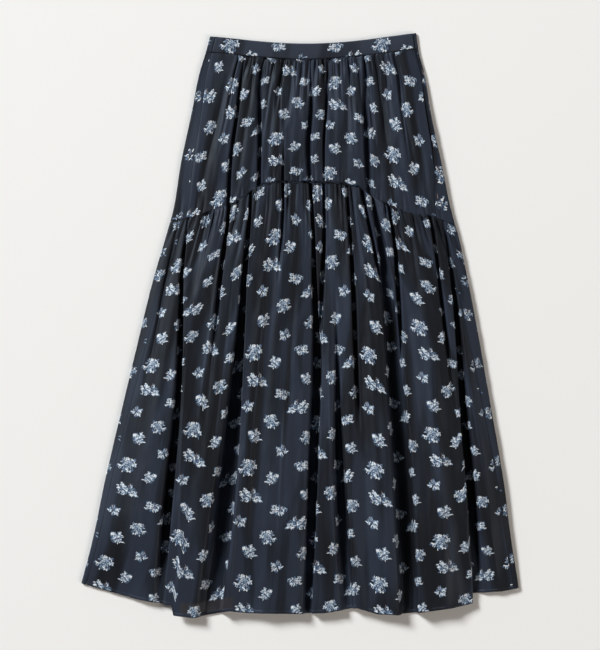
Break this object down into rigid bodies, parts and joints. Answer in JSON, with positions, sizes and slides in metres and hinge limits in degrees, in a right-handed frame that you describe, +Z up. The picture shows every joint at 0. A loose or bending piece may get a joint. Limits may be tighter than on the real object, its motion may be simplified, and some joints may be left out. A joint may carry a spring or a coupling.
{
  "type": "flared skirt",
  "caption": "Long tiered skirt laid flat: waistband, gathered hip tier and a longer gathered tier with deep folds to the hem.",
  "frame": {"origin": "middle of the skirt's outline, on the surface that it lies on", "axes": "+Y towards the waist, +X towards the right of the front as seen from above, +Z up from the surface"},
  "size_m": [0.6685, 0.8923, 0.0202],
  "materials": {
    "band_cloth": "smooth navy taffeta band",
    "tier_cloth": "thin navy taffeta with a soft sheen",
    "flower_thread": "white and pale blue cut threads",
    "pocket_cloth": "plain navy lining cloth"
  },
  "bodies": {
    "root": {"front_waistband": "band_cloth", "back_waistband": "band_cloth", "front_upper_tier": "tier_cloth", "back_upper_tier": "tier_cloth", "front_lower_tier": "tier_cloth", "back_lower_tier": "tier_cloth", "pocket_bag": "pocket_cloth"}
  },
  "joints": []
}
